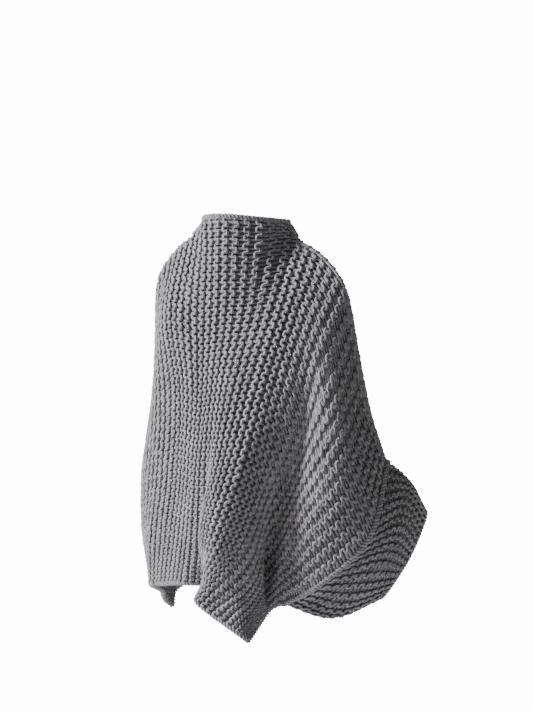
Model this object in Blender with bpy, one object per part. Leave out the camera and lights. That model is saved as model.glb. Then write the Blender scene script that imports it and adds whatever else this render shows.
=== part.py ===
"""Knitted poncho sweater, in its worn form with no wearer.

Two straight panels knitted sideways (back and front), each with half of a short funnel neck, are
joined over the shoulders and arms.  A wide ribbed cuff closes the upper part of each side edge, and
the sides hang open below it.  Each piece is one wall of cloth, built on a smooth surface through
its ridge lines, and neighbours stop 0.3 mm apart at their seams.
Wearer's left is +X, the back is +Y, and the origin is between the shoulders, at the neck.
"""

import bpy
import numpy as np

MM = 0.001
WALL = 4.0             # thickness of the knit
SEAM_PULL = 0.17       # each piece stops this far short of its seam
CORNER_PULL = 2.0      # and this far short where three pieces meet
HALF_RIDGES = 24       # garter ridges from the middle of a panel to its side edge
NECK_RIDGE = 6         # ridge where the funnel neck meets the shoulder seam
FUNNEL_TOP = -3.0      # stitches; the shoulder seam is at 0 and the hem at the last station
CUFF_STITCH = 25.0     # the cuff is sewn to the side edge down to here
COLUMN_STEP = 1.5      # ridges between two columns of the mesh
ROWS_PER_BAY = (5, 5, 5, 6, 7)
FUNNEL_ROWS = 3
CUFF_BANDS = 6
CUFF_ROWS = (0.0, 0.5, 1.0)
GREY = (0.36, 0.355, 0.36, 1.0)
RIB_GREY = (0.30, 0.30, 0.305, 1.0)

# Stitches down the panel where every ridge line is given, from its seam to the hem.
STATIONS = (0.0, 8.5, 17.0, 25.0, 34.5, 44.0)
# Points of each ridge line in mm.
# ridge: shoulder or arm seam, blade, waist, cuff's end, low back, hem
BACK = {
    24: ((-262, -14, -337), (-259, 32, -459), (-180, 63, -540),
         (-99, 60, -576), (-80, 74, -594), (-89, 139, -638)),
    20: ((-232, 8, -217), (-221, 72, -327), (-150, 77, -418),
         (-84, 73, -500), (-77, 104, -562), (-60, 152, -616)),
    16: ((-214, 11, -126), (-203, 70, -243), (-141, 80, -354),
         (-88, 90, -446), (-75, 119, -532), (-22, 157, -594)),
    12: ((-200, 18, -44), (-178, 72, -155), (-139, 88, -272),
         (-96, 103, -383), (-68, 137, -486), (2, 162, -576)),
    9: ((-152, 14, 8), (-140, 70, -103), (-115, 104, -226),
        (-86, 127, -352), (-48, 152, -474), (10, 148, -568)),
    6: ((-98, 14, 38), (-98, 77, -88), (-80, 119, -216),
        (-60, 146, -344), (-24, 158, -470), (16, 108, -560)),
    3: ((-52, 72, 32), (-46, 88, -91), (-39, 126, -220),
        (-29, 150, -345), (2, 152, -466), (24, 84, -554)),
    0: ((0, 92, 34), (2, 97, -92), (3, 115, -220),
        (6, 136, -345), (18, 135, -465), (38, 105, -550)),
    -3: ((54, 76, 34), (46, 98, -95), (44, 102, -224),
         (46, 114, -346), (53, 120, -464), (68, 118, -548)),
    -6: ((124, 24, 48), (96, 94, -86), (85, 90, -216),
         (86, 96, -338), (92, 105, -455), (101, 110, -550)),
    -9: ((164, 20, 26), (140, 80, -88), (126, 75, -218),
         (127, 80, -340), (132, 92, -456), (135, 100, -553)),
    -12: ((203, 20, -20), (180, 50, -140), (172, 58, -262),
          (172, 68, -378), (174, 80, -478), (162, 92, -556)),
    -16: ((213, 5, -105), (212, 22, -225), (222, 34, -340),
          (226, 36, -440), (216, 32, -520), (205, 12, -572)),
    -20: ((228, -6, -200), (242, -4, -306), (250, 0, -398),
          (243, -8, -480), (232, -16, -545), (222, -20, -592)),
    -24: ((256, -36, -325), (266, -50, -408), (254, -60, -482),
          (218, -78, -545), (226, -50, -576), (220, -36, -602)),
}
# The front shares the back's shoulder and arm seams, so its first column is only given at the neck.
FRONT = {
    24: (None, (-240, -46, -425), (-165, -8, -532),
         (-99, 60, -576), (-106, 12, -579), (-123, -22, -584)),
    20: (None, (-228, -30, -325), (-206, -42, -412),
         (-160, -26, -502), (-146, -34, -542), (-142, -40, -564)),
    16: (None, (-205, -28, -238), (-198, -58, -338),
         (-172, -68, -430), (-158, -76, -500), (-154, -76, -544)),
    12: (None, (-180, -34, -150), (-174, -76, -258),
         (-163, -108, -364), (-154, -120, -458), (-148, -118, -534)),
    9: (None, (-138, -68, -82), (-132, -104, -205),
        (-128, -130, -326), (-124, -138, -438), (-120, -136, -531)),
    6: (None, (-92, -90, -72), (-90, -122, -195),
        (-88, -142, -318), (-86, -148, -434), (-84, -146, -530)),
    3: ((-50, -30, 30), (-47, -102, -80), (-45, -132, -202),
        (-44, -148, -323), (-43, -154, -438), (-42, -150, -533)),
    0: ((0, -46, 28), (0, -104, -84), (0, -134, -205),
        (0, -150, -325), (0, -156, -440), (0, -152, -535)),
    -3: ((50, -26, 31), (47, -102, -80), (45, -132, -202),
         (44, -148, -323), (43, -154, -438), (42, -150, -533)),
    -6: (None, (92, -90, -70), (90, -122, -193),
         (88, -142, -316), (86, -148, -432), (84, -146, -528)),
    -9: (None, (138, -68, -72), (133, -104, -198),
         (128, -130, -320), (125, -138, -434), (122, -136, -529)),
    -12: (None, (184, -36, -132), (178, -78, -246),
          (167, -108, -354), (159, -120, -450), (153, -118, -532)),
    -16: (None, (212, -42, -222), (200, -76, -320),
          (181, -94, -411), (174, -100, -485), (171, -104, -537)),
    -20: (None, (232, -56, -294), (204, -80, -386),
          (180, -86, -474), (184, -90, -522), (187, -97, -549)),
    -24: (None, (228, -90, -376), (192, -108, -460),
          (218, -78, -545), (202, -94, -564), (197, -104, -572)),
}
# The funnel's rim above the neck's ridges: back, then front.
RIM = {
    6: ((-84, 22, 68), (-84, 22, 68)),
    3: ((-48, 66, 73), (-44, -24, 65)),
    0: ((0, 92, 78), (0, -38, 64)),
    -3: ((52, 80, 77), (46, -20, 66)),
    -6: ((88, 35, 70), (88, 35, 70)),
}
# Each cuff's middle and open end, in mm: over the arm, behind it, under it, and before it.
CUFFS = {
    "right_cuff": {
        "side": 24,
        "middle": ((-266, -72, -374), (-260, -28, -478), (-165, 6, -600), (-210, -86, -452)),
        "end": ((-262, -128, -427), (-250, -96, -484), (-192, -76, -566), (-198, -126, -494)),
    },
    "left_cuff": {
        "side": -24,
        "middle": ((264, -102, -352), (300, -110, -440), (240, -132, -528), (206, -152, -436)),
        "end": ((254, -176, -384), (290, -174, -448), (238, -188, -510), (200, -206, -446)),
    },
}


def unit(vectors):
    """Return vectors of length 1."""
    return vectors / np.linalg.norm(vectors, axis=-1, keepdims=True)


def smooth(knots, rows, at, closed=False):
    """Read a smooth curve through rows of points, given at rising knots, at the places asked for."""
    knots, rows, at = (np.asarray(a, float) for a in (knots, rows, at))
    if closed:
        period = knots[-1] - knots[0]
        knots = np.concatenate(([knots[-2] - period], knots, [knots[1] + period]))
        rows = np.concatenate((rows[-2:-1], rows, rows[1:2]))
    steps = np.diff(knots)
    shape = (-1,) + (1,) * (rows.ndim - 1)
    rise = np.diff(rows, axis=0) / steps.reshape(shape)
    before, after = steps[:-1].reshape(shape), steps[1:].reshape(shape)
    inner = (rise[:-1] * after + rise[1:] * before) / (before + after)
    slopes = np.concatenate((rise[:1], inner, rise[-1:]))
    bay = np.clip(np.searchsorted(knots, at, side="right") - 1, 0, len(steps) - 1)
    length = steps[bay].reshape(shape)
    x = ((at - knots[bay]) / steps[bay]).reshape(shape)
    return (
        rows[bay] * (2 * x**3 - 3 * x**2 + 1)
        + rows[bay + 1] * (3 * x**2 - 2 * x**3)
        + slopes[bay] * length * (x**3 - 2 * x**2 + x)
        + slopes[bay + 1] * length * (x**3 - x**2)
    )


def key_points(table):
    """Return the panel's key ridges, rising, and their points at every station."""
    ridges = sorted(table)
    points = [[table[r][i] or BACK[r][i] for i in range(len(STATIONS))] for r in ridges]
    return ridges, np.array(points, float)


def panel_grid(table, ridges, stitches):
    """Middle surface of a panel below the shoulder seam: one row of points for each stitch."""
    keys, points = key_points(table)
    down = smooth(STATIONS, points.transpose(1, 0, 2), stitches)
    grid = smooth(keys, down.transpose(1, 0, 2), ridges).transpose(1, 0, 2)
    for side in (-1, 1):
        sewn = ridges * side >= NECK_RIDGE
        shoulder = [k for k in keys if k * side >= NECK_RIDGE]
        curve = smooth(shoulder, [BACK[k][0] for k in shoulder], ridges[sewn])
        fade = np.clip(1 - np.asarray(stitches) / STATIONS[1], 0, 1)[:, None, None]
        first = smooth(STATIONS, points.transpose(1, 0, 2), [0.0])
        here = smooth(keys, first.transpose(1, 0, 2), ridges[sewn])[:, 0]
        grid[:, sewn] += (curve - here) * fade
    return grid


def funnel_grid(table, which, ridges, stitches):
    """Middle surface of a panel's half of the funnel neck, rim first."""
    top = panel_grid(table, ridges, [0.0])[0]
    below = panel_grid(table, ridges, [1.0])[0]
    keys = sorted(RIM)
    rim = smooth(keys, [RIM[k][which] for k in keys], ridges)
    away = (1 - (ridges / NECK_RIDGE) ** 2)[:, None]
    rows = []
    for stitch in stitches:
        x = stitch / FUNNEL_TOP
        lean = away * x * (1 - x) ** 2
        rows.append(top + (rim - top) * x + ((top - below) - (rim - top) / 3) * lean)
    return np.array(rows)


def grid_normals(grid, closed=False):
    """Outward normals of a grid whose rows run down and whose columns run to the wearer's right."""
    across = np.gradient(grid, axis=1)
    if closed:
        ring = np.concatenate((grid[:, -2:-1], grid, grid[:, 1:2]), axis=1)
        across = np.gradient(ring, axis=1)[:, 1:-1]
    down = np.gradient(grid, axis=0)
    return unit(np.cross(down, across))


def wall_object(name, middle, normals, faces, colour):
    """Give a middle surface its thickness and close it all round its edge."""
    half = WALL / 2
    outer, inner = middle + normals * half, middle - normals * half
    count = len(middle)
    edges = {(a, b) for face in faces for a, b in zip(face, face[1:] + face[:1])}
    border = [(a, b) for a, b in sorted(edges) if (b, a) not in edges]
    solid = [list(face) for face in faces]
    solid += [[v + count for v in reversed(face)] for face in faces]
    for a, b in border:
        if middle[a][2] > middle[b][2]:
            solid += [[b, a, b + count], [a, a + count, b + count]]
        else:
            solid += [[b, a, a + count], [b, a + count, b + count]]
    mesh = bpy.data.meshes.new(name)
    mesh.from_pydata((np.concatenate((outer, inner)) * MM).tolist(), [], solid)
    mesh.update()
    mesh.shade_smooth()
    mesh.set_sharp_from_angle(angle=np.radians(50))
    material = bpy.data.materials.new(name)
    material.use_nodes = True
    shader = material.node_tree.nodes["Principled BSDF"]
    shader.inputs["Base Color"].default_value = colour
    shader.inputs["Roughness"].default_value = 0.95
    shader.inputs["Metallic"].default_value = 0.0
    mesh.materials.append(material)
    piece = bpy.data.objects.new(name, mesh)
    bpy.context.collection.objects.link(piece)
    return piece


def stitch_rows():
    """Places of the mesh rows down a panel, with one at every station."""
    rows = [STATIONS[0]]
    for start, end, count in zip(STATIONS, STATIONS[1:], ROWS_PER_BAY):
        rows += list(np.linspace(start, end, count + 1)[1:])
    return np.array(rows)


def panel_surfaces():
    """Middle points and outward normals of both panels and their funnel halves."""
    ridges = np.arange(-HALF_RIDGES, HALF_RIDGES + 0.1, COLUMN_STEP)
    neck = np.abs(ridges) <= NECK_RIDGE
    rows = stitch_rows()
    collar_rows = np.linspace(FUNNEL_TOP, 0.0, FUNNEL_ROWS + 1)
    surfaces = {}
    for which, (name, table) in enumerate((("back_panel", BACK), ("front_panel", FRONT))):
        turn = (1, -1)[which]
        body = panel_grid(table, ridges, rows)
        collar = funnel_grid(table, which, ridges[neck], collar_rows)
        column = np.concatenate((collar[:-1], body[:, neck]))
        body_normals = grid_normals(body) * turn
        column_normals = grid_normals(column) * turn
        joined = len(collar_rows) - 1
        body_normals[0, neck] = column_normals[joined]
        surfaces[name] = {
            "body": body,
            "collar": collar,
            "body_normals": body_normals,
            "collar_normals": column_normals[: joined + 1],
        }
    return ridges, neck, rows, surfaces


def cuff_surface(cuff, rows, surfaces, column):
    """Middle points and outward normals of a cuff, from its seam to its open end."""
    sewn = rows <= CUFF_STITCH
    back = surfaces["back_panel"]["body"][sewn, column]
    front = surfaces["front_panel"]["body"][sewn, column]
    seam = np.concatenate((back, front[::-1][1:]))
    around = np.linspace(0.0, 1.0, len(seam))
    quarters = (0.0, 0.25, 0.5, 0.75, 1.0)
    rings = [seam]
    for name in ("middle", "end"):
        points = cuff[name] + cuff[name][:1]
        rings.append(smooth(quarters, points, around, closed=True))
    along = np.linspace(0.0, 1.0, CUFF_BANDS + 1)
    grid = smooth(CUFF_ROWS, rings, along)
    grid[:, -1] = grid[:, 0]
    turn = 1 if cuff["side"] < 0 else -1
    return grid, grid_normals(grid, closed=True) * turn, int(sewn.sum())


def pull_back(points, inside, corners=()):
    """Move edge points a hair towards their own piece, which opens the gap at a seam."""
    pull = np.full((len(points), 1), SEAM_PULL)
    pull[list(corners)] = CORNER_PULL
    return points + unit(inside - points) * pull


def join_normals(*groups):
    """Outward direction that all pieces share along a seam."""
    return unit(sum(groups))


def panel_mesh(surface, neck):
    """Join a panel's rows and its funnel half into one list of points, normals and faces."""
    body, collar = surface["body"], surface["collar"]
    rows, columns = body.shape[:2]
    collar_rows, collar_columns = collar.shape[:2]
    points = np.concatenate((body.reshape(-1, 3), collar[:-1].reshape(-1, 3)))
    lower, upper = surface["body_normals"], surface["collar_normals"][:-1]
    normals = np.concatenate((lower.reshape(-1, 3), upper.reshape(-1, 3)))
    index = np.arange(rows * columns).reshape(rows, columns)
    above = np.arange((collar_rows - 1) * collar_columns).reshape(-1, collar_columns)
    above = np.concatenate((above + rows * columns, index[:1, neck]))
    faces = []
    for block in (index, above):
        corners = (block[:-1, :-1], block[1:, :-1], block[1:, 1:], block[:-1, 1:])
        faces += np.stack(corners, axis=-1).reshape(-1, 4).tolist()
    return points, normals, faces


def grid_faces(rows, columns):
    """Quads of a tube whose last column is its first."""
    faces = []
    for r in range(rows - 1):
        upper, lower = r * columns, (r + 1) * columns
        for c in range(columns):
            d = (c + 1) % columns
            faces.append([upper + c, lower + c, lower + d, upper + d])
    return faces


def build():
    """Make the four pieces of the garment."""
    for old in list(bpy.data.objects):
        bpy.data.objects.remove(old)
    ridges, neck, rows, surfaces = panel_surfaces()
    back, front = surfaces["back_panel"], surfaces["front_panel"]
    shoulder = ~neck
    shoulder[[i for i in range(len(ridges)) if abs(ridges[i]) == NECK_RIDGE]] = True

    seam = join_normals(back["body_normals"][0, shoulder], front["body_normals"][0, shoulder])
    cuffs = {}
    for name, cuff in CUFFS.items():
        column = 0 if cuff["side"] < 0 else -1
        grid, normals, sewn = cuff_surface(cuff, rows, surfaces, column)
        front_edge = normals[0, sewn - 1 :][::-1]
        shared_back = join_normals(back["body_normals"][:sewn, column], normals[0, :sewn])
        shared_front = join_normals(front["body_normals"][:sewn, column], front_edge)
        for end in (0, sewn - 1):
            shared = join_normals(shared_back[end], shared_front[end])
            shared_back[end] = shared_front[end] = shared
        normals[0] = np.concatenate((shared_back, shared_front[::-1][1:]))
        cuffs[name] = {
            "grid": grid,
            "normals": normals,
            "column": column,
            "sewn": sewn,
            "back": shared_back,
            "front": shared_front,
        }
    for surface in (back, front):
        surface["body_normals"][0, shoulder] = seam
    for cuff in cuffs.values():
        back["body_normals"][: cuff["sewn"], cuff["column"]] = cuff["back"]
        front["body_normals"][: cuff["sewn"], cuff["column"]] = cuff["front"]
    for side in (0, -1):
        shared = join_normals(back["collar_normals"][:, side], front["collar_normals"][:, side])
        for surface in (back, front):
            surface["collar_normals"][:, side] = shared
            surface["body_normals"][0, np.flatnonzero(neck)[side]] = shared[-1]

    for name, surface in surfaces.items():
        body, collar = surface["body"].copy(), surface["collar"].copy()
        body[0, shoulder] = pull_back(body[0, shoulder], surface["body"][1, shoulder])
        for cuff in cuffs.values():
            column, sewn = cuff["column"], cuff["sewn"]
            next_column = 1 if column == 0 else -2
            edge = surface["body"][: sewn + 1, column]
            inside = surface["body"][: sewn + 1, next_column]
            body[: sewn + 1, column] = pull_back(edge, inside, (0, sewn - 1, sewn))
        for side, inside in ((0, 1), (-1, -2)):
            collar[:-1, side] = pull_back(collar[:-1, side], surface["collar"][:-1, inside])
        moved = dict(surface, body=body, collar=collar)
        points, normals, faces = panel_mesh(moved, neck)
        if name == "front_panel":
            faces = [face[::-1] for face in faces]
        wall_object(name, points, normals, faces, GREY)

    for name, cuff in cuffs.items():
        grid, normals = cuff["grid"].copy(), cuff["normals"]
        grid[0] = pull_back(grid[0], grid[1])
        points = grid[:, :-1].reshape(-1, 3)
        faces = grid_faces(grid.shape[0], grid.shape[1] - 1)
        if cuff["column"]:
            faces = [face[::-1] for face in faces]
        wall_object(name, points, normals[:, :-1].reshape(-1, 3), faces, RIB_GREY)


build()
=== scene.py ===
"""Knitted poncho sweater: its yarn, edges and cloth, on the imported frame.

Each piece is a thin closed cloth with the yarn's own loops over it.  The yarn follows the same
surfaces as the frame's walls, read from tables of where each ridge line passes.
Sizes in the tables are in millimetres; ridges and stitches are counts.
"""

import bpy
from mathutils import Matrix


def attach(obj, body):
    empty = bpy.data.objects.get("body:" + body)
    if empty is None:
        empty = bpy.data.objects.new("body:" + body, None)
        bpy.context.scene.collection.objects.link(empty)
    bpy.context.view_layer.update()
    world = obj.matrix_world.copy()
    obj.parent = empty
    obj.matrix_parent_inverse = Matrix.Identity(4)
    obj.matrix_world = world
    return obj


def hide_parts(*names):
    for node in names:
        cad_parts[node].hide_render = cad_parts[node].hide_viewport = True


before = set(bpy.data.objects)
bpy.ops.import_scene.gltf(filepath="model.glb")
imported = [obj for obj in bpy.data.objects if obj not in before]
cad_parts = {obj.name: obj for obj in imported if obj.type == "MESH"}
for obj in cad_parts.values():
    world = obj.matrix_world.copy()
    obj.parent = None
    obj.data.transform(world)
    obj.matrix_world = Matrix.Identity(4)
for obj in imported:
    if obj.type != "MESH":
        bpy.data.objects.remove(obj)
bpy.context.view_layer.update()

import bpy
import numpy as np
from mathutils import Vector

bl_info = {
    "name": "Knitted poncho sweater",
    "version": (1, 0, 0),
    "blender": (4, 5, 0),
    "location": "View3D > Sidebar > Poncho",
    "description": "Builds a sideways-knitted poncho sweater with a funnel neck and ribbed cuffs",
    "category": "Add Mesh",
}

MM = 0.001
HALF_RIDGES = 24        # garter ridges from the middle of a panel to its side edge
NECK_RIDGE = 6          # ridge where the funnel neck meets the shoulder seam
FUNNEL_TOP = -3.0       # stitches; the shoulder seam is at 0 and the hem at the last station
CUFF_STITCH = 25.0      # the cuff is sewn to the side edge down to here
CUFF_ROWS = (0.0, 0.5, 1.0)
CUFF_QUARTERS = (0.0, 0.25, 0.5, 0.75, 1.0)
CUFF_BANDS = 24         # cells of a cuff's cloth from its seam to its open end
CUFF_LOOPS = 11         # loops of rib yarn from the seam to the open end
GRID_STEP = 0.5         # ridges and stitches between two points of a cloth
RIDGE_PITCH = 13.5      # mm
ROW_GAP = 0.5           # ridges between two rows of yarn
WAVE_CURVE = 1.8        # how square a loop's head is
EDGE_SPREAD = 2.3       # mm from the middle of a twisted edge to each strand
EDGE_TWIST = 13.0       # mm for one full turn of an edge's strands
RIB_TWIST = 12.0

# Stitches down the panel where every ridge line is given, from its seam to the hem.
STATIONS = (0.0, 8.5, 17.0, 25.0, 34.5, 44.0)
# Points of each ridge line.
# ridge: shoulder or arm seam, blade, waist, cuff's end, low back, hem
BACK = {
    24: ((-262, -14, -337), (-259, 32, -459), (-180, 63, -540),
         (-99, 60, -576), (-80, 74, -594), (-89, 139, -638)),
    17.6: ((-232, 8, -217), (-221, 72, -327), (-150, 77, -418),
           (-84, 73, -500), (-77, 104, -562), (-60, 152, -616)),
    14.7: ((-214, 11, -126), (-203, 70, -243), (-141, 80, -354),
           (-88, 90, -446), (-75, 119, -532), (-22, 157, -594)),
    12: ((-200, 18, -44), (-178, 72, -155), (-139, 88, -272),
         (-96, 103, -383), (-68, 137, -486), (2, 162, -576)),
    9: ((-152, 14, 8), (-140, 70, -103), (-115, 104, -226),
        (-86, 127, -352), (-48, 152, -474), (10, 148, -568)),
    6: ((-98, 14, 38), (-98, 77, -88), (-80, 119, -216),
        (-60, 146, -344), (-24, 158, -470), (16, 108, -560)),
    3: ((-52, 72, 32), (-46, 88, -91), (-39, 126, -220),
        (-29, 150, -345), (2, 152, -466), (24, 84, -554)),
    0: ((0, 92, 34), (2, 97, -92), (3, 115, -220),
        (6, 136, -345), (18, 135, -465), (38, 105, -550)),
    -3: ((54, 76, 34), (46, 98, -95), (44, 102, -224),
         (46, 114, -346), (53, 120, -464), (68, 118, -548)),
    -6: ((124, 24, 48), (96, 94, -86), (85, 90, -216),
         (86, 96, -338), (92, 105, -455), (101, 110, -550)),
    -9: ((164, 20, 26), (140, 80, -88), (126, 75, -218),
         (127, 80, -340), (132, 92, -456), (135, 100, -553)),
    -12: ((203, 20, -20), (180, 50, -140), (172, 58, -262),
          (172, 68, -378), (174, 80, -478), (162, 92, -556)),
    -16: ((213, 5, -105), (212, 22, -225), (222, 34, -340),
          (226, 36, -440), (216, 32, -520), (205, 12, -572)),
    -20: ((228, -6, -200), (242, -4, -306), (250, 0, -398),
          (243, -8, -480), (232, -16, -545), (222, -20, -592)),
    -24: ((256, -36, -325), (266, -50, -408), (254, -60, -482),
          (218, -78, -545), (226, -50, -576), (220, -36, -602)),
}
# The front shares the back's shoulder and arm seams, so its first column is only given at the neck.
FRONT = {
    24: (None, (-240, -46, -425), (-165, -8, -532),
         (-99, 60, -576), (-106, 12, -579), (-123, -22, -584)),
    17.6: (None, (-228, -30, -325), (-206, -42, -412),
           (-160, -26, -502), (-146, -34, -542), (-142, -40, -564)),
    14.7: (None, (-205, -28, -238), (-198, -58, -338),
           (-172, -68, -430), (-158, -76, -500), (-154, -76, -544)),
    12: (None, (-180, -34, -150), (-174, -76, -258),
         (-163, -108, -364), (-154, -120, -458), (-148, -118, -534)),
    9: (None, (-138, -68, -82), (-132, -104, -205),
        (-128, -130, -326), (-124, -138, -438), (-120, -136, -531)),
    6: (None, (-92, -90, -72), (-90, -122, -195),
        (-88, -142, -318), (-86, -148, -434), (-84, -146, -530)),
    3: ((-50, -30, 30), (-47, -102, -80), (-45, -132, -202),
        (-44, -148, -323), (-43, -154, -438), (-42, -150, -533)),
    0: ((0, -46, 28), (0, -104, -84), (0, -134, -205),
        (0, -150, -325), (0, -156, -440), (0, -152, -535)),
    -3: ((50, -26, 31), (47, -102, -80), (45, -132, -202),
         (44, -148, -323), (43, -154, -438), (42, -150, -533)),
    -6: (None, (92, -90, -70), (90, -122, -193),
         (88, -142, -316), (86, -148, -432), (84, -146, -528)),
    -9: (None, (138, -68, -72), (133, -104, -198),
         (128, -130, -320), (125, -138, -434), (122, -136, -529)),
    -12: (None, (184, -36, -132), (178, -78, -246),
          (167, -108, -354), (159, -120, -450), (153, -118, -532)),
    -16: (None, (212, -42, -222), (200, -76, -320),
          (181, -94, -411), (174, -100, -485), (171, -104, -537)),
    -20: (None, (232, -56, -294), (204, -80, -386),
          (180, -86, -474), (184, -90, -522), (187, -97, -549)),
    -24: (None, (228, -90, -376), (192, -108, -460),
          (218, -78, -545), (202, -94, -564), (197, -104, -572)),
}
# The funnel's rim above the neck's ridges: back, then front.
RIM = {
    6: ((-84, 22, 68), (-84, 22, 68)),
    3: ((-48, 66, 73), (-44, -24, 65)),
    0: ((0, 92, 78), (0, -38, 64)),
    -3: ((52, 80, 77), (46, -20, 66)),
    -6: ((88, 35, 70), (88, 35, 70)),
}
# Each cuff's middle and open end: over the arm, behind it, under it, and before it.
CUFFS = {
    "right_cuff": {
        "side": 24,
        "middle": ((-266, -72, -374), (-260, -28, -478), (-165, 6, -600), (-210, -86, -452)),
        "end": ((-262, -128, -427), (-250, -96, -502), (-200, -84, -571), (-198, -126, -494)),
    },
    "left_cuff": {
        "side": -24,
        "middle": ((264, -102, -352), (300, -110, -440), (240, -132, -528), (206, -152, -436)),
        "end": ((254, -176, -384), (290, -174, -448), (238, -188, -510), (200, -206, -446)),
    },
}

# Soft folds; a fold of negative depth is a valley.
# panel, first ridge, first stitch, last ridge, last stitch, half width, depth
FOLDS = (
    ("back_panel", 12.2, 9.0, 15.2, 22.5, 24.0, -15.0),
    ("back_panel", 13.9, 18.0, 19.2, 28.0, 25.0, -20.0),
    ("back_panel", 17.0, 24.0, 22.8, 34.0, 24.0, -12.0),
    ("back_panel", 7.0, 21.0, 8.0, 43.0, 34.0, 9.0),
    ("back_panel", 0.8, 22.0, -0.6, 44.0, 20.0, -11.0),
    ("back_panel", 19.5, 8.0, 21.0, 20.0, 30.0, 7.0),
    ("back_panel", -8.0, 14.0, -6.5, 38.0, 22.0, -3.0),
    ("front_panel", 9.0, 20.0, 13.0, 42.0, 22.0, -6.0),
    ("front_panel", -10.0, 16.0, -14.0, 42.0, 24.0, -6.0),
    ("front_panel", 2.0, 22.0, 3.0, 43.0, 26.0, 5.0),
)

# Wool materials: name, share of the settings' colours, sheen, and whether the yarn is plied.
WOOLS = (
    ("Poncho yarn", 1.0, 0.25, True),
    ("Poncho rib yarn", 0.9, 0.2, True),
    # The ground's share of 0.35 is painted shade: a dark sheet that stands for the shade in the pits
    # between the loops.
    ("Poncho ground painted shade", 0.35, 0.05, False),
)

# The stage, in metres and watts.
# light: place, size, power
LIGHTS = {
    "Key": ((2.7, 2.6, 1.6), 0.8, 490.0),
    "Fill": ((-3.6, 2.0, 0.6), 2.0, 4.0),
    "Front": ((1.2, -3.6, 1.2), 2.0, 110.0),
}
LIGHT_TARGET = (-0.012, -0.009, -0.25)
WORLD_LIGHT = 0.20
BACKDROP_LIGHT = 14.0   # added where the world itself is seen
CAMERA_PLACE = (-3.708, 4.719, -0.160)
CAMERA_TARGET = (-0.012, -0.009, -0.160)
FLOOR_RADIUS = 3.0
FLOOR_LEVEL = -1.4
FLOOR_SIDES = 48


def unit(vectors):
    """Return vectors of length 1."""
    return vectors / np.linalg.norm(vectors, axis=-1, keepdims=True)


def smooth(knots, rows, at, closed=False):
    """Read a smooth curve through rows of points, given at rising knots, at the places asked for."""
    knots, rows, at = (np.asarray(a, float) for a in (knots, rows, at))
    if closed:
        period = knots[-1] - knots[0]
        knots = np.concatenate(([knots[-2] - period], knots, [knots[1] + period]))
        rows = np.concatenate((rows[-2:-1], rows, rows[1:2]))
    steps = np.diff(knots)
    shape = (-1,) + (1,) * (rows.ndim - 1)
    rise = np.diff(rows, axis=0) / steps.reshape(shape)
    before, after = steps[:-1].reshape(shape), steps[1:].reshape(shape)
    inner = (rise[:-1] * after + rise[1:] * before) / (before + after)
    slopes = np.concatenate((rise[:1], inner, rise[-1:]))
    bay = np.clip(np.searchsorted(knots, at, side="right") - 1, 0, len(steps) - 1)
    length = steps[bay].reshape(shape)
    x = ((at - knots[bay]) / steps[bay]).reshape(shape)
    return (
        rows[bay] * (2 * x**3 - 3 * x**2 + 1)
        + rows[bay + 1] * (3 * x**2 - 2 * x**3)
        + slopes[bay] * length * (x**3 - 2 * x**2 + x)
        + slopes[bay + 1] * length * (x**3 - x**2)
    )


def key_points(table):
    """Return the panel's key ridges, rising, and their points at every station."""
    ridges = sorted(table)
    points = [[table[r][i] or BACK[r][i] for i in range(len(STATIONS))] for r in ridges]
    return ridges, np.array(points, float)


def panel_grid(table, ridges, stitches):
    """Middle surface of a panel below the shoulder seam: one row of points for each stitch."""
    keys, points = key_points(table)
    down = smooth(STATIONS, points.transpose(1, 0, 2), stitches)
    grid = smooth(keys, down.transpose(1, 0, 2), ridges).transpose(1, 0, 2)
    for side in (-1, 1):
        sewn = ridges * side >= NECK_RIDGE
        shoulder = [k for k in keys if k * side >= NECK_RIDGE]
        curve = smooth(shoulder, [BACK[k][0] for k in shoulder], ridges[sewn])
        fade = np.clip(1 - np.asarray(stitches) / STATIONS[1], 0, 1)[:, None, None]
        first = smooth(STATIONS, points.transpose(1, 0, 2), [0.0])
        here = smooth(keys, first.transpose(1, 0, 2), ridges[sewn])[:, 0]
        grid[:, sewn] += (curve - here) * fade
    return grid


def funnel_grid(table, which, ridges, stitches):
    """Middle surface of a panel's half of the funnel neck, rim first."""
    top = panel_grid(table, ridges, [0.0])[0]
    below = panel_grid(table, ridges, [1.0])[0]
    keys = sorted(RIM)
    rim = smooth(keys, [RIM[k][which] for k in keys], ridges)
    away = (1 - (ridges / NECK_RIDGE) ** 2)[:, None]
    rows = []
    for stitch in stitches:
        x = stitch / FUNNEL_TOP
        lean = away * x * (1 - x) ** 2
        rows.append(top + (rim - top) * x + ((top - below) - (rim - top) / 3) * lean)
    return np.array(rows)


class Cloth:
    """A piece's middle surface, with its outward side, read at any ridge and stitch."""

    def __init__(self, across, down, grid, turn, closed=False):
        """Keep the grid of points and work out its outward normals."""
        self.across, self.down, self.grid, self.closed = across, down, grid, closed
        wide = grid
        if closed:
            wide = np.concatenate((grid[:, -2:-1], grid, grid[:, 1:2]), axis=1)
        along = np.gradient(wide, axis=1)
        if closed:
            along = along[:, 1:-1]
        self.normals = unit(np.cross(np.gradient(grid, axis=0), along)) * turn

    def at(self, x, y, height):
        """Points at ridges x and stitches y, standing out by height in mm."""
        if self.closed:
            x = np.mod(x - self.across[0], self.across[-1] - self.across[0]) + self.across[0]
        column, right = cell(self.across, x)
        row, low = cell(self.down, y)
        spots = []
        for values in (self.grid, self.normals):
            upper = values[row, column] * (1 - right) + values[row, column + 1] * right
            lower = values[row + 1, column] * (1 - right) + values[row + 1, column + 1] * right
            spots.append(upper * (1 - low) + lower * low)
        return spots[0] + unit(spots[1]) * height[:, None]


def cell(knots, values):
    """Cell of evenly spaced knots that each value falls in, and how far through it."""
    step = knots[1] - knots[0]
    places = np.clip((values - knots[0]) / step, 0, len(knots) - 1 - 1e-9)
    index = places.astype(int)
    return index, (places - index)[:, None]


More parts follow.
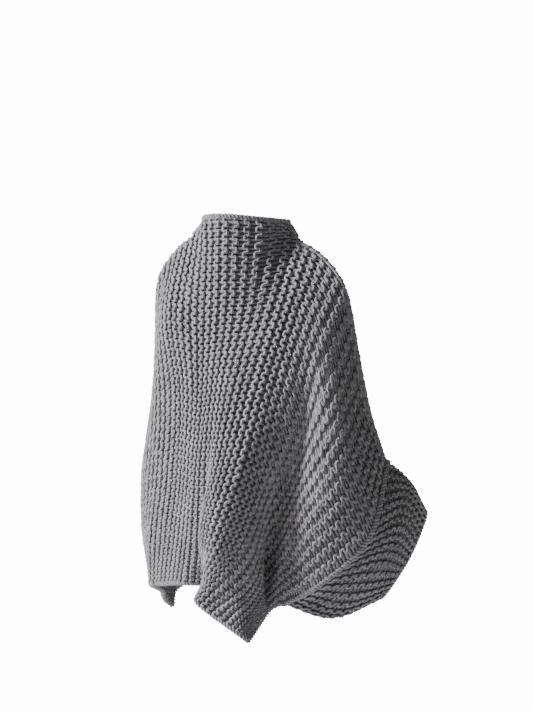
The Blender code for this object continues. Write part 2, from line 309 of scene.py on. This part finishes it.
def fold(name, grid, normals, ridges, stitches):
    """Press the named panel's soft folds into its grid."""
    across, down = np.meshgrid(ridges, stitches)
    for panel, ridge_a, stitch_a, ridge_b, stitch_b, width, depth in FOLDS:
        if panel != name:
            continue
        way = np.array((ridge_b - ridge_a, stitch_b - stitch_a))
        gone = ((across - ridge_a) * way[0] + (down - stitch_a) * way[1]) / (way @ way)
        near = np.clip(gone, 0, 1)
        off = np.hypot(across - ridge_a - near * way[0], down - stitch_a - near * way[1])
        off *= RIDGE_PITCH
        ends = np.sin(np.pi * np.clip(near, 0.02, 0.98)) ** 0.6
        grid += normals * (depth * ends * np.exp(-((off / width) ** 2)))[..., None]
    return grid


def panel_cloth(name):
    """The cloth of one panel, with its half of the funnel above the shoulder seam."""
    table, which = {"back_panel": (BACK, 0), "front_panel": (FRONT, 1)}[name]
    ridges = np.arange(-HALF_RIDGES, HALF_RIDGES + 0.1, GRID_STEP)
    stitches = np.arange(0.0, STATIONS[-1] + 0.1, GRID_STEP)
    body = panel_grid(table, ridges, stitches)
    turn = (1, -1)[which]
    body = fold(name, body, Cloth(ridges, stitches, body, turn).normals, ridges, stitches)
    neck = np.abs(ridges) <= NECK_RIDGE
    above = np.arange(FUNNEL_TOP, -0.1, GRID_STEP)
    collar = funnel_grid(table, which, ridges[neck], above)
    grid = np.concatenate((np.repeat(body[:1], len(above), axis=0), body))
    grid[: len(above), neck] = collar
    down = np.concatenate((above, stitches))
    cloth = Cloth(ridges, down, grid, turn)
    lower = Cloth(ridges, stitches, body, turn).normals
    column = Cloth(ridges[neck], down, grid[:, neck], turn).normals
    cloth.normals[len(above) :] = lower
    cloth.normals[: len(above)] = lower[:1]
    cloth.normals[: len(above) + 1, neck] = column[: len(above) + 1]
    return cloth


def cuff_cloth(name):
    """The cloth of one cuff, from its seam to its open end; its ridges count round the arm."""
    cuff = CUFFS[name]
    column = 0 if cuff["side"] < 0 else -1
    stitches = np.arange(0.0, CUFF_STITCH + 0.1, GRID_STEP)
    ridges = np.arange(-HALF_RIDGES, HALF_RIDGES + 0.1, GRID_STEP)
    back = panel_grid(BACK, ridges, stitches)[:, column]
    front = panel_grid(FRONT, ridges, stitches)[:, column]
    seam = np.concatenate((back, front[::-1][1:]))
    around = np.linspace(0.0, 1.0, len(seam))
    rings = [seam]
    for place in ("middle", "end"):
        points = cuff[place] + cuff[place][:1]
        rings.append(smooth(CUFF_QUARTERS, points, around, closed=True))
    along = np.linspace(0.0, 1.0, CUFF_BANDS + 1)
    grid = smooth(CUFF_ROWS, rings, along)
    grid[:, -1] = grid[:, 0]
    turn = 1 if cuff["side"] < 0 else -1
    return Cloth(around, along, grid, turn, closed=True)


def yarn_rows(cloth, settings, places, starts, end, loops, pitch, steps, seed):
    """Points of one yarn row for each place across the cloth.

    Even rows lie outside as waved cords, which are the ridges.  Odd rows lie inside, and their
    loops cross the valleys from one ridge to the next.  Loops is how many uneven spots a row has,
    pitch is the length of a loop and steps is the points in it.
    """
    rng = np.random.default_rng(seed)
    gap = places[1] - places[0]
    lift = settings.lift / MM
    rows = []
    for number, (place, start) in enumerate(zip(places, starts)):
        count = int(round((end - start) / pitch * steps)) + 1
        y = np.linspace(start, end, count)
        turn = 2 * np.pi * (y - start) / pitch
        drift = np.interp(y, np.linspace(start, end, loops), rng.normal(0, 1, loops))
        wander = np.interp(y, np.linspace(start, end, loops), rng.normal(0, 1, loops))
        wave = np.tanh(WAVE_CURVE * np.cos(turn)) / np.tanh(WAVE_CURVE)
        heads = np.cos(2 * turn)
        if number % 2:
            reach, height = 0.95, -lift * (0.7 + 0.4 * heads)
        else:
            reach, height = settings.wave, lift * (0.9 + 0.1 * heads)
        x = place + gap * (reach * (1 + 0.1 * drift) * wave + 0.06 * wander)
        height = (height + 0.25 * drift) * np.clip((y - start) / pitch, 0.2, 1)
        y = np.clip(y + settings.swing * pitch * np.sin(2 * turn), start, end)
        rows.append((cloth.at(x, y, height), rng.normal(0, 1)))
    return rows


def line_mesh(name, rows):
    """A mesh of plain lines, one for each row of points, with the row's own shade."""
    points = np.concatenate([row for row, _ in rows]) * MM
    starts = np.cumsum([0] + [len(row) for row, _ in rows])
    edges = []
    for low, high in zip(starts[:-1], starts[1:]):
        spots = np.arange(low, high - 1)
        edges.append(np.stack((spots, spots + 1), axis=1))
    mesh = bpy.data.meshes.new(name)
    mesh.from_pydata(points.tolist(), np.concatenate(edges).tolist(), [])
    shade = mesh.attributes.new("row_shade", "FLOAT", "POINT")
    shade.data.foreach_set("value", np.concatenate([np.full(len(row), s) for row, s in rows]))
    return mesh


def yarn_nodes():
    """Geometry nodes that lay a round yarn along every line, marked with its length and its turn."""
    tree = bpy.data.node_groups.get("Yarn along lines")
    if tree:
        return tree
    tree = bpy.data.node_groups.new("Yarn along lines", "GeometryNodeTree")
    tree.is_modifier = True
    face = tree.interface
    face.new_socket("Lines", in_out="INPUT", socket_type="NodeSocketGeometry")
    radius = face.new_socket("Yarn radius", in_out="INPUT", socket_type="NodeSocketFloat")
    radius.default_value, radius.subtype = 0.0028, "DISTANCE"
    sides = face.new_socket("Sides", in_out="INPUT", socket_type="NodeSocketInt")
    sides.default_value, sides.min_value = 4, 3
    face.new_socket("Wool", in_out="INPUT", socket_type="NodeSocketMaterial")
    face.new_socket("Yarn", in_out="OUTPUT", socket_type="NodeSocketGeometry")
    nodes, links = tree.nodes, tree.links
    given = nodes.new("NodeGroupInput")
    result = nodes.new("NodeGroupOutput")
    to_curve = nodes.new("GeometryNodeMeshToCurve")
    length = nodes.new("GeometryNodeSplineParameter")
    mark_length = nodes.new("GeometryNodeStoreNamedAttribute")
    mark_length.data_type, mark_length.domain = "FLOAT", "POINT"
    mark_length.inputs["Name"].default_value = "yarn_length"
    ring = nodes.new("GeometryNodeCurvePrimitiveCircle")
    place = nodes.new("GeometryNodeInputPosition")
    direction = nodes.new("ShaderNodeVectorMath")
    direction.operation = "NORMALIZE"
    mark_turn = nodes.new("GeometryNodeStoreNamedAttribute")
    mark_turn.data_type, mark_turn.domain = "FLOAT_VECTOR", "POINT"
    mark_turn.inputs["Name"].default_value = "yarn_turn"
    to_mesh = nodes.new("GeometryNodeCurveToMesh")
    to_mesh.inputs["Fill Caps"].default_value = True
    soft = nodes.new("GeometryNodeSetShadeSmooth")
    real = nodes.new("GeometryNodeRealizeInstances")
    wool = nodes.new("GeometryNodeSetMaterial")
    links.new(given.outputs["Lines"], to_curve.inputs["Mesh"])
    links.new(to_curve.outputs["Curve"], mark_length.inputs["Geometry"])
    links.new(length.outputs["Length"], mark_length.inputs["Value"])
    links.new(given.outputs["Yarn radius"], ring.inputs["Radius"])
    links.new(given.outputs["Sides"], ring.inputs["Resolution"])
    links.new(place.outputs["Position"], direction.inputs[0])
    links.new(ring.outputs["Curve"], mark_turn.inputs["Geometry"])
    links.new(direction.outputs["Vector"], mark_turn.inputs["Value"])
    links.new(mark_length.outputs["Geometry"], to_mesh.inputs["Curve"])
    links.new(mark_turn.outputs["Geometry"], to_mesh.inputs["Profile Curve"])
    links.new(to_mesh.outputs["Mesh"], soft.inputs["Geometry"])
    links.new(soft.outputs["Geometry"], real.inputs["Geometry"])
    links.new(real.outputs["Geometry"], wool.inputs["Geometry"])
    links.new(given.outputs["Wool"], wool.inputs["Material"])
    links.new(wool.outputs["Geometry"], result.inputs["Yarn"])
    for number, node in enumerate(nodes):
        node.location = (180 * (number % 6), -200 * (number // 6))
    return tree


def add_object(name, data):
    """Put a mesh, a light or a camera in the scene."""
    item = bpy.data.objects.new(name, data)
    bpy.context.collection.objects.link(item)
    return item


def lay_yarn(name, rows, radius, sides, material):
    """Turn rows of points into a plain mesh of yarn."""
    lines = add_object(name + "_lines", line_mesh(name + "_lines", rows))
    tree = yarn_nodes()
    modifier = lines.modifiers.new("Yarn", "NODES")
    modifier.node_group = tree
    names = {item.name: item.identifier for item in tree.interface.items_tree if item.in_out == "INPUT"}
    modifier[names["Yarn radius"]] = radius
    modifier[names["Sides"]] = sides
    modifier[names["Wool"]] = material
    bpy.context.view_layer.update()
    evaluated = lines.evaluated_get(bpy.context.evaluated_depsgraph_get())
    mesh = bpy.data.meshes.new_from_object(evaluated)
    mesh.name = name
    lines.modifiers.remove(modifier)
    bpy.data.objects.remove(lines)
    return add_object(name, mesh)


def thin_cloth(name, cloth, keep, thickness, material):
    """A thin closed cloth over the cells of the grid that are kept."""
    rows, columns = cloth.grid.shape[:2]
    if cloth.closed:
        columns -= 1
    half = thickness / 2
    middle = cloth.grid[:, :columns].reshape(-1, 3)
    away = cloth.normals[:, :columns].reshape(-1, 3) * half
    faces = []
    for r in range(rows - 1):
        upper, lower = r * columns, (r + 1) * columns
        for c in range(columns if cloth.closed else columns - 1):
            if keep(cloth.across[c], cloth.down[r]):
                d = (c + 1) % columns
                faces.append([upper + c, lower + c, lower + d, upper + d])
    a, b, c = (middle[list(i)] for i in zip(*[face[:3] for face in faces]))
    facing = np.einsum("ij,ij->i", np.cross(b - a, c - b), away[[face[0] for face in faces]])
    if facing.sum() < 0:
        faces = [face[::-1] for face in faces]
    count = len(middle)
    edges = {(p, q) for face in faces for p, q in zip(face, face[1:] + face[:1])}
    solid = faces + [[v + count for v in reversed(face)] for face in faces]
    solid += [[q, p, p + count, q + count] for p, q in sorted(edges) if (q, p) not in edges]
    points = np.concatenate((middle + away, middle - away)) * MM
    used = sorted({v for face in solid for v in face})
    place = {v: i for i, v in enumerate(used)}
    mesh = bpy.data.meshes.new(name)
    mesh.from_pydata(points[used].tolist(), [], [[place[v] for v in face] for face in solid])
    mesh.update()
    mesh.shade_smooth()
    mesh.materials.append(material)
    return add_object(name, mesh)


def twisted_edge(cloth, x, y, out, spread, pitch):
    """Two strands turned round each other along an edge of the cloth."""
    middle = cloth.at(x, y, np.full(len(x), out))
    sides = cloth.at(x, y, np.full(len(x), out + 1.0)) - middle
    forward = unit(np.gradient(middle, axis=0))
    across = unit(np.cross(forward, sides))
    gone = np.concatenate(([0], np.cumsum(np.linalg.norm(np.diff(middle, axis=0), axis=1))))
    rows = []
    for start in (0.0, np.pi):
        angle = (2 * np.pi * gone / pitch + start)[:, None]
        rows.append((middle + spread * (sides * np.cos(angle) + across * np.sin(angle)), start - 1.5))
    return rows


def new_group(name, inputs, outputs):
    """An empty shader node group with the sockets named."""
    tree = bpy.data.node_groups.new(name, "ShaderNodeTree")
    for socket, kind, value in inputs:
        made = tree.interface.new_socket(socket, in_out="INPUT", socket_type=kind)
        if value is not None:
            made.default_value = value
    for socket, kind in outputs:
        tree.interface.new_socket(socket, in_out="OUTPUT", socket_type=kind)
    return tree, tree.nodes.new("NodeGroupInput"), tree.nodes.new("NodeGroupOutput")


def calculate(tree, operation, *values):
    """A math node on numbers or sockets; returns its output."""
    node = tree.nodes.new("ShaderNodeMath")
    node.operation = operation
    for socket, value in zip(node.inputs, values):
        if isinstance(value, (int, float)):
            socket.default_value = value
        else:
            tree.links.new(value, socket)
    return node.outputs["Value"]


def noise(tree, scale, detail=3.0):
    """Noise on object coordinates; returns its value, from 0 to 1."""
    place = tree.nodes.new("ShaderNodeTexCoord")
    node = tree.nodes.new("ShaderNodeTexNoise")
    node.inputs["Scale"].default_value = scale
    node.inputs["Detail"].default_value = detail
    tree.links.new(place.outputs["Object"], node.inputs["Vector"])
    return node.outputs["Fac"]


def heather_group():
    """Colour of heather wool: dark and pale fibres blended in short streaks and broad patches."""
    name = "Heather colour"
    if name in bpy.data.node_groups:
        return bpy.data.node_groups[name]
    tree, given, result = new_group(
        name,
        [
            ("Dark", "NodeSocketColor", None),
            ("Pale", "NodeSocketColor", None),
            ("Fleck", "NodeSocketFloat", 0.5),
            ("Row change", "NodeSocketFloat", 0.05),
        ],
        [("Color", "NodeSocketColor")],
    )
    row = tree.nodes.new("ShaderNodeAttribute")
    row.attribute_name = "row_shade"
    fine = calculate(tree, "SUBTRACT", noise(tree, 1500.0, 2.0), 0.5)
    patch = calculate(tree, "SUBTRACT", noise(tree, 55.0, 2.0), 0.5)
    fleck = calculate(tree, "MULTIPLY", fine, given.outputs["Fleck"])
    rows = calculate(tree, "MULTIPLY", row.outputs["Fac"], given.outputs["Row change"])
    broad = calculate(tree, "MULTIPLY", patch, 0.5)
    total = calculate(tree, "ADD", calculate(tree, "ADD", fleck, rows), broad)
    mix = tree.nodes.new("ShaderNodeMix")
    mix.data_type = "RGBA"
    mix.clamp_factor = True
    tree.links.new(calculate(tree, "ADD", total, 0.5), mix.inputs["Factor"])
    tree.links.new(given.outputs["Dark"], mix.inputs[6])
    tree.links.new(given.outputs["Pale"], mix.inputs[7])
    tree.links.new(mix.outputs[2], result.inputs["Color"])
    return tree


def ply_group():
    """Height of a plied yarn: strands that wind round it, with loose fibres on top."""
    name = "Plied yarn height"
    if name in bpy.data.node_groups:
        return bpy.data.node_groups[name]
    tree, given, result = new_group(
        name,
        [
            ("Strands", "NodeSocketFloat", 3.0),
            ("Twist length", "NodeSocketFloat", 0.012),
            ("Fuzz", "NodeSocketFloat", 0.4),
        ],
        [("Height", "NodeSocketFloat")],
    )
    length = tree.nodes.new("ShaderNodeAttribute")
    length.attribute_name = "yarn_length"
    turn = tree.nodes.new("ShaderNodeAttribute")
    turn.attribute_name = "yarn_turn"
    parts = tree.nodes.new("ShaderNodeSeparateXYZ")
    tree.links.new(turn.outputs["Vector"], parts.inputs["Vector"])
    angle = calculate(tree, "ARCTAN2", parts.outputs["Y"], parts.outputs["X"])
    gone = calculate(tree, "DIVIDE", length.outputs["Fac"], given.outputs["Twist length"])
    around = calculate(tree, "MULTIPLY", angle, given.outputs["Strands"])
    wind = calculate(tree, "ADD", calculate(tree, "MULTIPLY", gone, 2 * np.pi), around)
    half_turn = calculate(tree, "MULTIPLY", wind, 0.5)
    strand = calculate(tree, "ABSOLUTE", calculate(tree, "SINE", half_turn))
    fuzz = calculate(tree, "MULTIPLY", noise(tree, 1800.0, 3.0), given.outputs["Fuzz"])
    tree.links.new(calculate(tree, "ADD", strand, fuzz), result.inputs["Height"])
    return tree


def wool_material(name, dark, pale, sheen, plied):
    """Matt heather wool: blended colour, soft sheen and the relief of its fibres."""
    material = bpy.data.materials.new(name)
    material.use_nodes = True
    tree = material.node_tree
    shader = tree.nodes["Principled BSDF"]
    shader.inputs["Roughness"].default_value = 0.92
    shader.inputs["Specular IOR Level"].default_value = 0.25
    shader.inputs["Sheen Weight"].default_value = sheen
    shader.inputs["Sheen Roughness"].default_value = 0.6
    colour = tree.nodes.new("ShaderNodeGroup")
    colour.node_tree = heather_group()
    colour.inputs["Dark"].default_value = (*dark, 1.0)
    colour.inputs["Pale"].default_value = (*pale, 1.0)
    colour.inputs["Fleck"].default_value = 1.3
    tree.links.new(colour.outputs["Color"], shader.inputs["Base Color"])
    bump = tree.nodes.new("ShaderNodeBump")
    bump.inputs["Strength"].default_value = 0.7
    bump.inputs["Distance"].default_value = 0.0009
    if plied:
        height = tree.nodes.new("ShaderNodeGroup")
        height.node_tree = ply_group()
        tree.links.new(height.outputs["Height"], bump.inputs["Height"])
    else:
        tree.links.new(noise(tree, 900.0), bump.inputs["Height"])
    tree.links.new(bump.outputs["Normal"], shader.inputs["Normal"])
    return material


def materials(settings):
    """The poncho's wool materials, made once: yarn, rib yarn and the ground between loops, darkened as
    painted shade.
    """
    dark, pale = np.array(settings.dark_wool), np.array(settings.pale_wool)
    for name, share, sheen, plied in WOOLS:
        if name not in bpy.data.materials:
            wool_material(name, tuple(dark * share), tuple(pale * share), sheen, plied)
    return [bpy.data.materials[name] for name, *_ in WOOLS]


def settle(piece, node):
    """Let a finished piece ride on the garment and stand for its node."""
    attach(piece, "root")
    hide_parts(node)


class PONCHO_PG_settings(bpy.types.PropertyGroup):
    """Sizes and colours of the poncho."""

    yarn_radius: bpy.props.FloatProperty(
        name="Yarn radius", description="Half the thickness of the panels' yarn",
        default=0.0030, min=0.001, max=0.006, unit="LENGTH", subtype="DISTANCE",
    )
    rib_radius: bpy.props.FloatProperty(
        name="Rib yarn radius", description="Half the thickness of the cuffs' yarn",
        default=0.0028, min=0.001, max=0.006, unit="LENGTH", subtype="DISTANCE",
    )
    lift: bpy.props.FloatProperty(
        name="Ridge height", description="How far a ridge stands off the middle of the cloth",
        default=0.0030, min=0.0, max=0.008, unit="LENGTH", subtype="DISTANCE",
    )
    wave: bpy.props.FloatProperty(
        name="Ridge wave", description="How far a ridge swings sideways, as a share of the row gap",
        default=0.36, min=0.0, max=1.0, subtype="FACTOR",
    )
    swing: bpy.props.FloatProperty(
        name="Loop swing", description="How far a loop closes at its neck, as a share of a stitch",
        default=0.08, min=0.0, max=0.2, subtype="FACTOR",
    )
    cloth_thickness: bpy.props.FloatProperty(
        name="Ground thickness", description="Thickness of the felted ground between the loops",
        default=0.001, min=0.0005, max=0.004, unit="LENGTH", subtype="DISTANCE",
    )
    ribs: bpy.props.IntProperty(
        name="Cuff ribs", description="Number of ribs round each cuff", default=36, min=20, max=90,
    )
    dark_wool: bpy.props.FloatVectorProperty(
        name="Dark fibres", description="Colour of the darkest wool in the blend",
        default=(0.060, 0.057, 0.063), subtype="COLOR", min=0.0, max=1.0,
    )
    pale_wool: bpy.props.FloatVectorProperty(
        name="Pale fibres", description="Colour of the palest wool in the blend",
        default=(0.40, 0.385, 0.405), subtype="COLOR", min=0.0, max=1.0,
    )


def panel_yarn(name, cloth, settings, steps, seed):
    """The yarn rows of a panel, as two pieces, and its twisted edges."""
    yarn, _, _ = materials(settings)
    pieces = []
    places = np.arange(-HALF_RIDGES + ROW_GAP / 2, HALF_RIDGES, ROW_GAP)
    end = STATIONS[-1]
    for side, chosen in (("left", places < 0), ("right", places > 0)):
        here = places[chosen]
        starts = [FUNNEL_TOP if abs(p) < NECK_RIDGE else 0.0 for p in here]
        rows = yarn_rows(cloth, settings, here, starts, end, 46, 1.0, steps, seed + (side == "right"))
        pieces.append(lay_yarn(f"{name}_yarn_{side}", rows, settings.yarn_radius, 4, yarn))
    across = np.linspace(-HALF_RIDGES, HALF_RIDGES, 400)
    neck = np.linspace(-NECK_RIDGE, NECK_RIDGE, 110)
    down = np.linspace(CUFF_STITCH, end, 160)
    rows = []
    for x, y in (
        (across, np.full(400, end)),
        (neck, np.full(110, FUNNEL_TOP)),
        (np.full(160, -float(HALF_RIDGES)), down),
        (np.full(160, float(HALF_RIDGES)), down),
    ):
        rows += twisted_edge(cloth, x, y, 0.0, EDGE_SPREAD, EDGE_TWIST)
    pieces.append(lay_yarn(f"{name}_edges", rows, settings.yarn_radius * 0.85, 6, yarn))
    return pieces


def make_panel(name, settings, steps, seed):
    """One panel: its ground, its yarn and its edges."""
    cloth = panel_cloth(name)
    # The ground cloth takes the darkened wool: painted shade for the pits between the loops.
    ground = thin_cloth(
        f"{name}_cloth",
        cloth,
        lambda ridge, stitch: stitch >= 0 or -NECK_RIDGE <= ridge < NECK_RIDGE,
        settings.cloth_thickness / MM,
        materials(settings)[2],
    )
    pieces = panel_yarn(name, cloth, settings, steps, seed)
    for piece in [ground] + pieces:
        settle(piece, name)


def make_cuff(name, settings, seed):
    """One cuff: its ground, its ribs, the raised seam and the open end."""
    cloth = cuff_cloth(name)
    # The cuff's ground takes the darkened wool: painted shade between the ribs.
    _, rib, painted_shade_ground = materials(settings)
    ground = thin_cloth(
        f"{name}_cloth", cloth, lambda ridge, stitch: True, settings.cloth_thickness / MM, painted_shade_ground
    )
    places = np.arange(0.0, 1.0, ROW_GAP / settings.ribs)
    starts = [0.0] * len(places)
    rows = yarn_rows(cloth, settings, places, starts, 1.0, CUFF_LOOPS + 1, 1 / CUFF_LOOPS, 8, seed)
    yarn = lay_yarn(f"{name}_yarn", rows, settings.rib_radius, 4, rib)
    around = np.linspace(0.0, 1.0, 420)
    rows = twisted_edge(cloth, around, np.full(420, 0.02), 3.0, 2.4, RIB_TWIST)
    rows += twisted_edge(cloth, around, np.full(420, 1.0), 0.0, 2.2, RIB_TWIST)
    edges = lay_yarn(f"{name}_edges", rows, settings.rib_radius, 6, rib)
    for piece in (ground, yarn, edges):
        settle(piece, name)


class PONCHO_OT_back(bpy.types.Operator):
    """Knit the back panel"""

    bl_idname = "poncho.back"
    bl_label = "Back panel"

    def execute(self, context):
        """Make the back's ground, yarn and edges."""
        make_panel("back_panel", context.scene.poncho, 10, 11)
        return {"FINISHED"}


class PONCHO_OT_front(bpy.types.Operator):
    """Knit the front panel"""

    bl_idname = "poncho.front"
    bl_label = "Front panel"

    def execute(self, context):
        """Make the front's ground, yarn and edges."""
        make_panel("front_panel", context.scene.poncho, 8, 31)
        return {"FINISHED"}


class PONCHO_OT_cuffs(bpy.types.Operator):
    """Knit both ribbed cuffs"""

    bl_idname = "poncho.cuffs"
    bl_label = "Cuffs"

    def execute(self, context):
        """Make each cuff's ground, ribs, seam and end."""
        for seed, name in enumerate(CUFFS):
            make_cuff(name, context.scene.poncho, 51 + seed)
        return {"FINISHED"}


def aim(item, place, target):
    """Move a light or a camera and point it at a target."""
    item.location = place
    way = Vector(target) - Vector(place)
    item.rotation_euler = way.to_track_quat("-Z", "Y").to_euler()


def area_light(name, place, size, power):
    """A soft square light that shines at the garment."""
    data = bpy.data.lights.new(name, "AREA")
    data.size, data.energy = size, power
    aim(add_object(name, data), place, LIGHT_TARGET)


class PONCHO_OT_stage(bpy.types.Operator):
    """Set the floor, the lights and the camera"""

    bl_idname = "poncho.stage"
    bl_label = "Stage"

    def execute(self, context):
        """Make a pale floor, soft studio light and the camera."""
        mesh = bpy.data.meshes.new("floor")
        angles = np.linspace(0, 2 * np.pi, FLOOR_SIDES, endpoint=False)
        ring = [(FLOOR_RADIUS * np.cos(a), FLOOR_RADIUS * np.sin(a), FLOOR_LEVEL) for a in angles]
        mesh.from_pydata(ring, [], [list(range(FLOOR_SIDES))])
        floor = add_object("floor", mesh)
        paint = bpy.data.materials.new("Pale floor")
        paint.use_nodes = True
        shader = paint.node_tree.nodes["Principled BSDF"]
        shader.inputs["Base Color"].default_value = (0.9, 0.9, 0.9, 1)
        shader.inputs["Roughness"].default_value = 0.9
        mesh.materials.append(paint)
        world = bpy.data.worlds.new("Studio")
        world.use_nodes = True
        tree = world.node_tree
        seen = tree.nodes.new("ShaderNodeLightPath").outputs["Is Camera Ray"]
        backdrop = calculate(tree, "MULTIPLY", seen, BACKDROP_LIGHT)
        strength = calculate(tree, "ADD", backdrop, WORLD_LIGHT)
        background = tree.nodes["Background"]
        background.inputs["Color"].default_value = (1, 1, 1, 1)
        tree.links.new(strength, background.inputs["Strength"])
        context.scene.world = world
        for name, (place, size, power) in LIGHTS.items():
            area_light(name, place, size, power)
        camera = add_object("Camera", bpy.data.cameras.new("Camera"))
        camera.data.lens = 176.6
        camera.data.sensor_width = 36.0
        aim(camera, CAMERA_PLACE, CAMERA_TARGET)
        context.scene.camera = camera
        return {"FINISHED"}


class PONCHO_PT_panel(bpy.types.Panel):
    """Sizes, colours and pieces of the poncho"""

    bl_idname = "PONCHO_PT_panel"
    bl_label = "Knitted poncho"
    bl_space_type = "VIEW_3D"
    bl_region_type = "UI"
    bl_category = "Poncho"

    def draw(self, context):
        """List the sizes and the pieces."""
        for name in PONCHO_PG_settings.__annotations__:
            self.layout.prop(context.scene.poncho, name)
        for operator in OPERATORS:
            self.layout.operator(operator.bl_idname)


OPERATORS = (PONCHO_OT_back, PONCHO_OT_front, PONCHO_OT_cuffs, PONCHO_OT_stage)
CLASSES = (PONCHO_PG_settings, *OPERATORS, PONCHO_PT_panel)


def register():
    """Add the poncho's classes and its settings."""
    for item in CLASSES:
        bpy.utils.register_class(item)
    bpy.types.Scene.poncho = bpy.props.PointerProperty(type=PONCHO_PG_settings)


def unregister():
    """Remove them again."""
    del bpy.types.Scene.poncho
    for item in reversed(CLASSES):
        bpy.utils.unregister_class(item)


def main():
    """Build every piece in order."""
    register()
    bpy.ops.poncho.back()
    bpy.ops.poncho.front()
    bpy.ops.poncho.cuffs()
    bpy.ops.poncho.stage()


if __name__ == "__main__":
    main()
